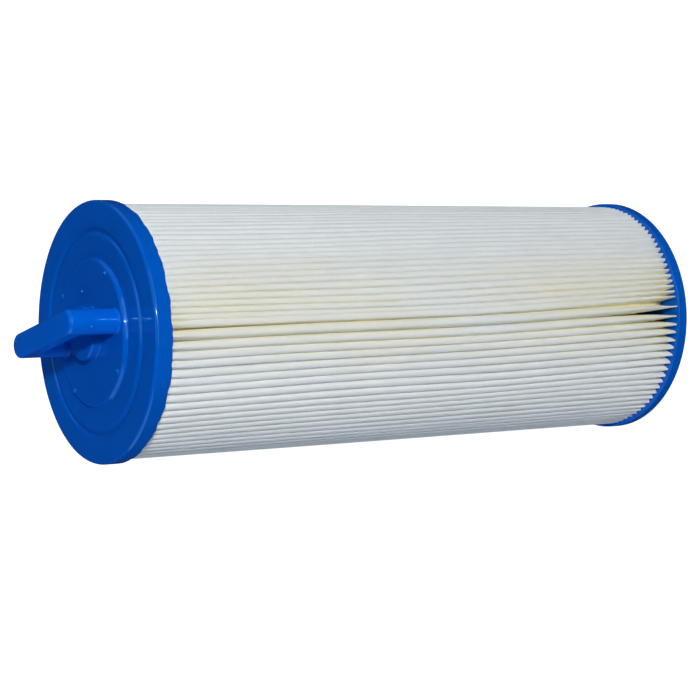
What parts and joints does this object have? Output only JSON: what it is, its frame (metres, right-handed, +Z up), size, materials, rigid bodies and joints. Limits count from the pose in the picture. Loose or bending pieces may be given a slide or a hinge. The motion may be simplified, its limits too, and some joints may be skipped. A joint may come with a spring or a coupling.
{
  "type": "filter cartridge",
  "caption": "Pleated spa filter cartridge with a closed top cap and carry handle, a perforated centre core, and a threaded nipple on the bottom cap.",
  "frame": {"origin": "centre of the nipple's lower end, the lowest point of the upright cartridge", "axes": "+Z up along the cartridge's axis from the threaded nipple to the carry handle, +X along the handle's bar"},
  "size_m": [0.1254, 0.1254, 0.3754],
  "materials": {
    "cap_urethane": "cast polyurethane, smooth and glossy, blue",
    "handle_plastic": "moulded plastic, smooth and glossy, blue",
    "adapter_plastic": "moulded plastic, satin gloss, blue",
    "core_plastic": "moulded polypropylene, satin, white",
    "polyester_media": "spun-bonded polyester, soft matt, white",
    "seam_glue": "hot-melt adhesive, satin, cream"
  },
  "bodies": {
    "root": {"top_end_cap": "cap_urethane", "carry_handle": "handle_plastic", "core_top_plug": "core_plastic", "core_upper_section": "core_plastic", "core_lower_section": "core_plastic", "pleated_media": "polyester_media", "media_seam_bead": "seam_glue", "bottom_end_cap": "cap_urethane", "threaded_adapter": "adapter_plastic"}
  },
  "joints": []
}
